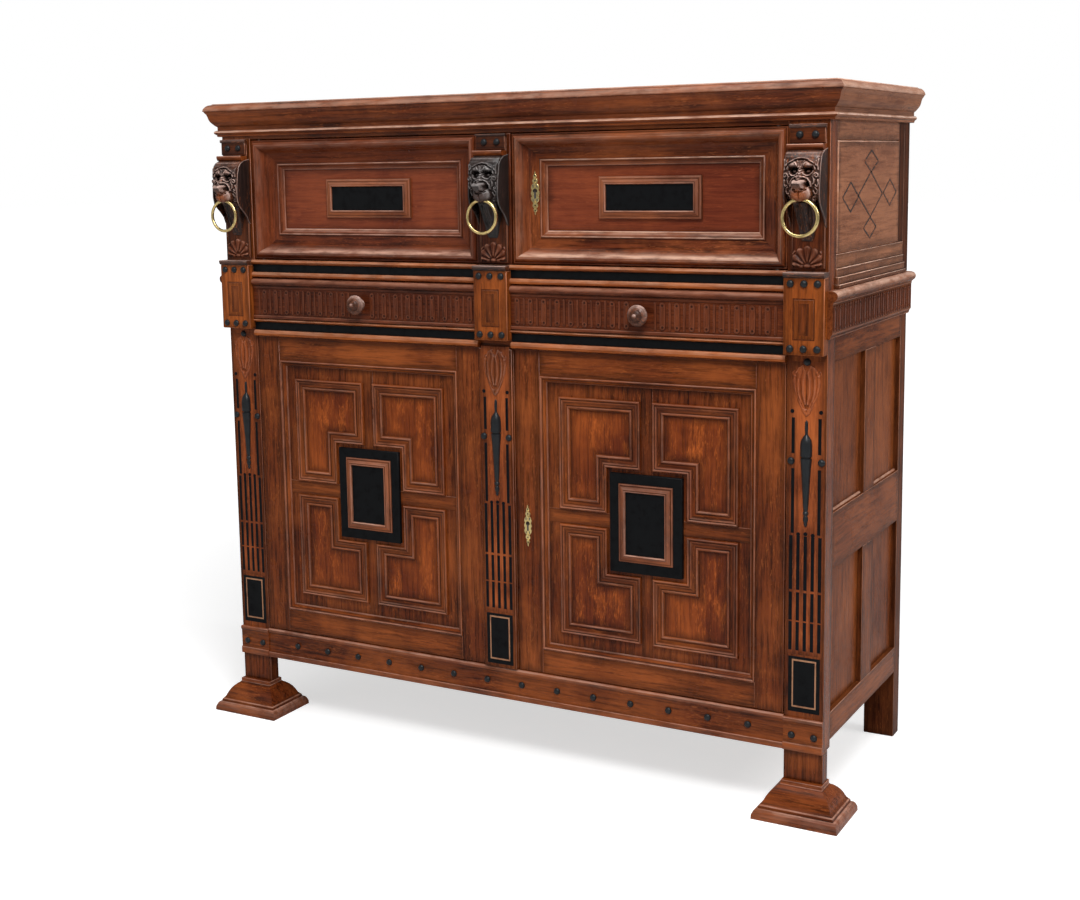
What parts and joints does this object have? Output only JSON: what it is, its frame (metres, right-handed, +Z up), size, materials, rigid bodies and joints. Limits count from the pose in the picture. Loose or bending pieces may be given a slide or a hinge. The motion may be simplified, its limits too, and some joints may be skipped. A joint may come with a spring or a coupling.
{
  "type": "court cupboard",
  "caption": "Two-tier court cupboard with four panelled doors, two frieze drawers, carved pilasters, lion masks holding rings, a deep cornice and moulded block feet.",
  "frame": {"origin": "on the floor, in the middle of the whole outline", "axes": "+X to the right of a person who faces the front, the front looks along -Y, +Z up"},
  "size_m": [1.624, 0.657, 1.5186],
  "materials": {
    "oak": "old waxed reddish brown wood with carved ornament",
    "dark_oak": "old wood darkened by handling, waxed",
    "burl": "figured red veneer, polished",
    "ebony": "black ebony, satin",
    "inner_wood": "plain unpolished boards",
    "brass": "old polished brass",
    "iron": "dark forged iron"
  },
  "bodies": {
    "case": {"front_posts": "oak", "feet": "oak", "rear_posts": "dark_oak", "base_rail": "oak", "base_blocks": "oak", "side_frames": "oak", "side_panels": "burl", "side_friezes": "oak", "low_waist_rail": "oak", "high_waist_rail": "oak", "frieze_blocks": "oak", "bottom_board": "inner_wood", "shelf": "inner_wood", "shelf_cleats": "inner_wood", "dust_board": "inner_wood", "upper_floor": "inner_wood", "drawer_guides": "inner_wood", "back_boards": "inner_wood", "top_rail": "oak", "ceiling_board": "inner_wood", "cornice_front": "oak", "cornice_sides": "oak", "crown_board": "oak", "upper_pilasters": "oak", "side_lions": "dark_oak", "post_carvings": "ebony", "case_nails": "ebony", "pivot_pins": "iron"},
    "lower_left_door": {"lower_left_frame": "oak", "lower_left_panel": "burl", "lower_left_plaque": "ebony", "lower_pilaster": "oak", "lower_left_keepers": "iron"},
    "lower_right_door": {"lower_right_frame": "oak", "lower_right_panel": "burl", "lower_right_plaque": "ebony", "lower_escutcheon": "brass", "lower_lock": "iron"},
    "upper_left_door": {"upper_left_frame": "oak", "upper_left_panel": "burl", "upper_left_plaque": "ebony", "upper_pilaster": "oak", "middle_lion": "dark_oak", "upper_left_keepers": "iron"},
    "upper_right_door": {"upper_right_frame": "oak", "upper_right_panel": "burl", "upper_right_plaque": "ebony", "upper_escutcheon": "brass", "upper_lock": "iron"},
    "lower_left_bolt": {"lower_left_bolt": "iron"},
    "lower_lock_bolt": {"lower_lock_bolt": "iron"},
    "upper_left_bolt": {"upper_left_bolt": "iron"},
    "upper_lock_bolt": {"upper_lock_bolt": "iron"},
    "left_drawer": {"left_drawer": "oak", "left_knob": "dark_oak"},
    "right_drawer": {"right_drawer": "oak", "right_knob": "dark_oak"},
    "left_ring": {"left_ring": "brass"},
    "middle_ring": {"middle_ring": "brass"},
    "right_ring": {"right_ring": "brass"}
  },
  "joints": [
    {"name": "lower_left_door_hinge", "type": "hinge", "parent": "case", "child": "lower_left_door", "pos_m": [-0.653, -0.2355, 0.588], "axis": [0, 0, -1], "range_deg": [0, 92]},
    {"name": "lower_right_door_hinge", "type": "hinge", "parent": "case", "child": "lower_right_door", "pos_m": [0.653, -0.2355, 0.588], "axis": [0, 0, 1], "range_deg": [0, 92]},
    {"name": "upper_left_door_hinge", "type": "hinge", "parent": "case", "child": "upper_left_door", "pos_m": [-0.653, -0.2355, 1.288], "axis": [0, 0, -1], "range_deg": [0, 90]},
    {"name": "upper_right_door_hinge", "type": "hinge", "parent": "case", "child": "upper_right_door", "pos_m": [0.653, -0.2355, 1.288], "axis": [0, 0, 1], "range_deg": [0, 90]},
    {"name": "left_drawer_slide", "type": "slide", "parent": "case", "child": "left_drawer", "axis": [0, -1, 0], "range_m": [0, 0.34]},
    {"name": "right_drawer_slide", "type": "slide", "parent": "case", "child": "right_drawer", "axis": [0, -1, 0], "range_m": [0, 0.34]},
    {"name": "left_ring_swing", "type": "hinge", "parent": "case", "child": "left_ring", "pos_m": [-0.7195, -0.2985, 1.287], "axis": [-1, 0, 0], "range_deg": [-10, 80]},
    {"name": "middle_ring_swing", "type": "hinge", "parent": "upper_left_door", "child": "middle_ring", "pos_m": [0, -0.2985, 1.287], "axis": [-1, 0, 0], "range_deg": [-10, 80]},
    {"name": "right_ring_swing", "type": "hinge", "parent": "case", "child": "right_ring", "pos_m": [0.7195, -0.2985, 1.287], "axis": [-1, 0, 0], "range_deg": [-10, 80]},
    {"name": "lower_lock_bolt_slide", "type": "slide", "parent": "lower_right_door", "child": "lower_lock_bolt", "axis": [-1, 0, 0], "range_m": [0, 0.022]},
    {"name": "upper_lock_bolt_slide", "type": "slide", "parent": "upper_right_door", "child": "upper_lock_bolt", "axis": [-1, 0, 0], "range_m": [0, 0.022]},
    {"name": "lower_left_bolt_slide", "type": "slide", "parent": "lower_left_door", "child": "lower_left_bolt", "axis": [0, 0, 1], "range_m": [0, 0.018]},
    {"name": "upper_left_bolt_slide", "type": "slide", "parent": "upper_left_door", "child": "upper_left_bolt", "axis": [0, 0, 1], "range_m": [0, 0.018]}
  ]
}
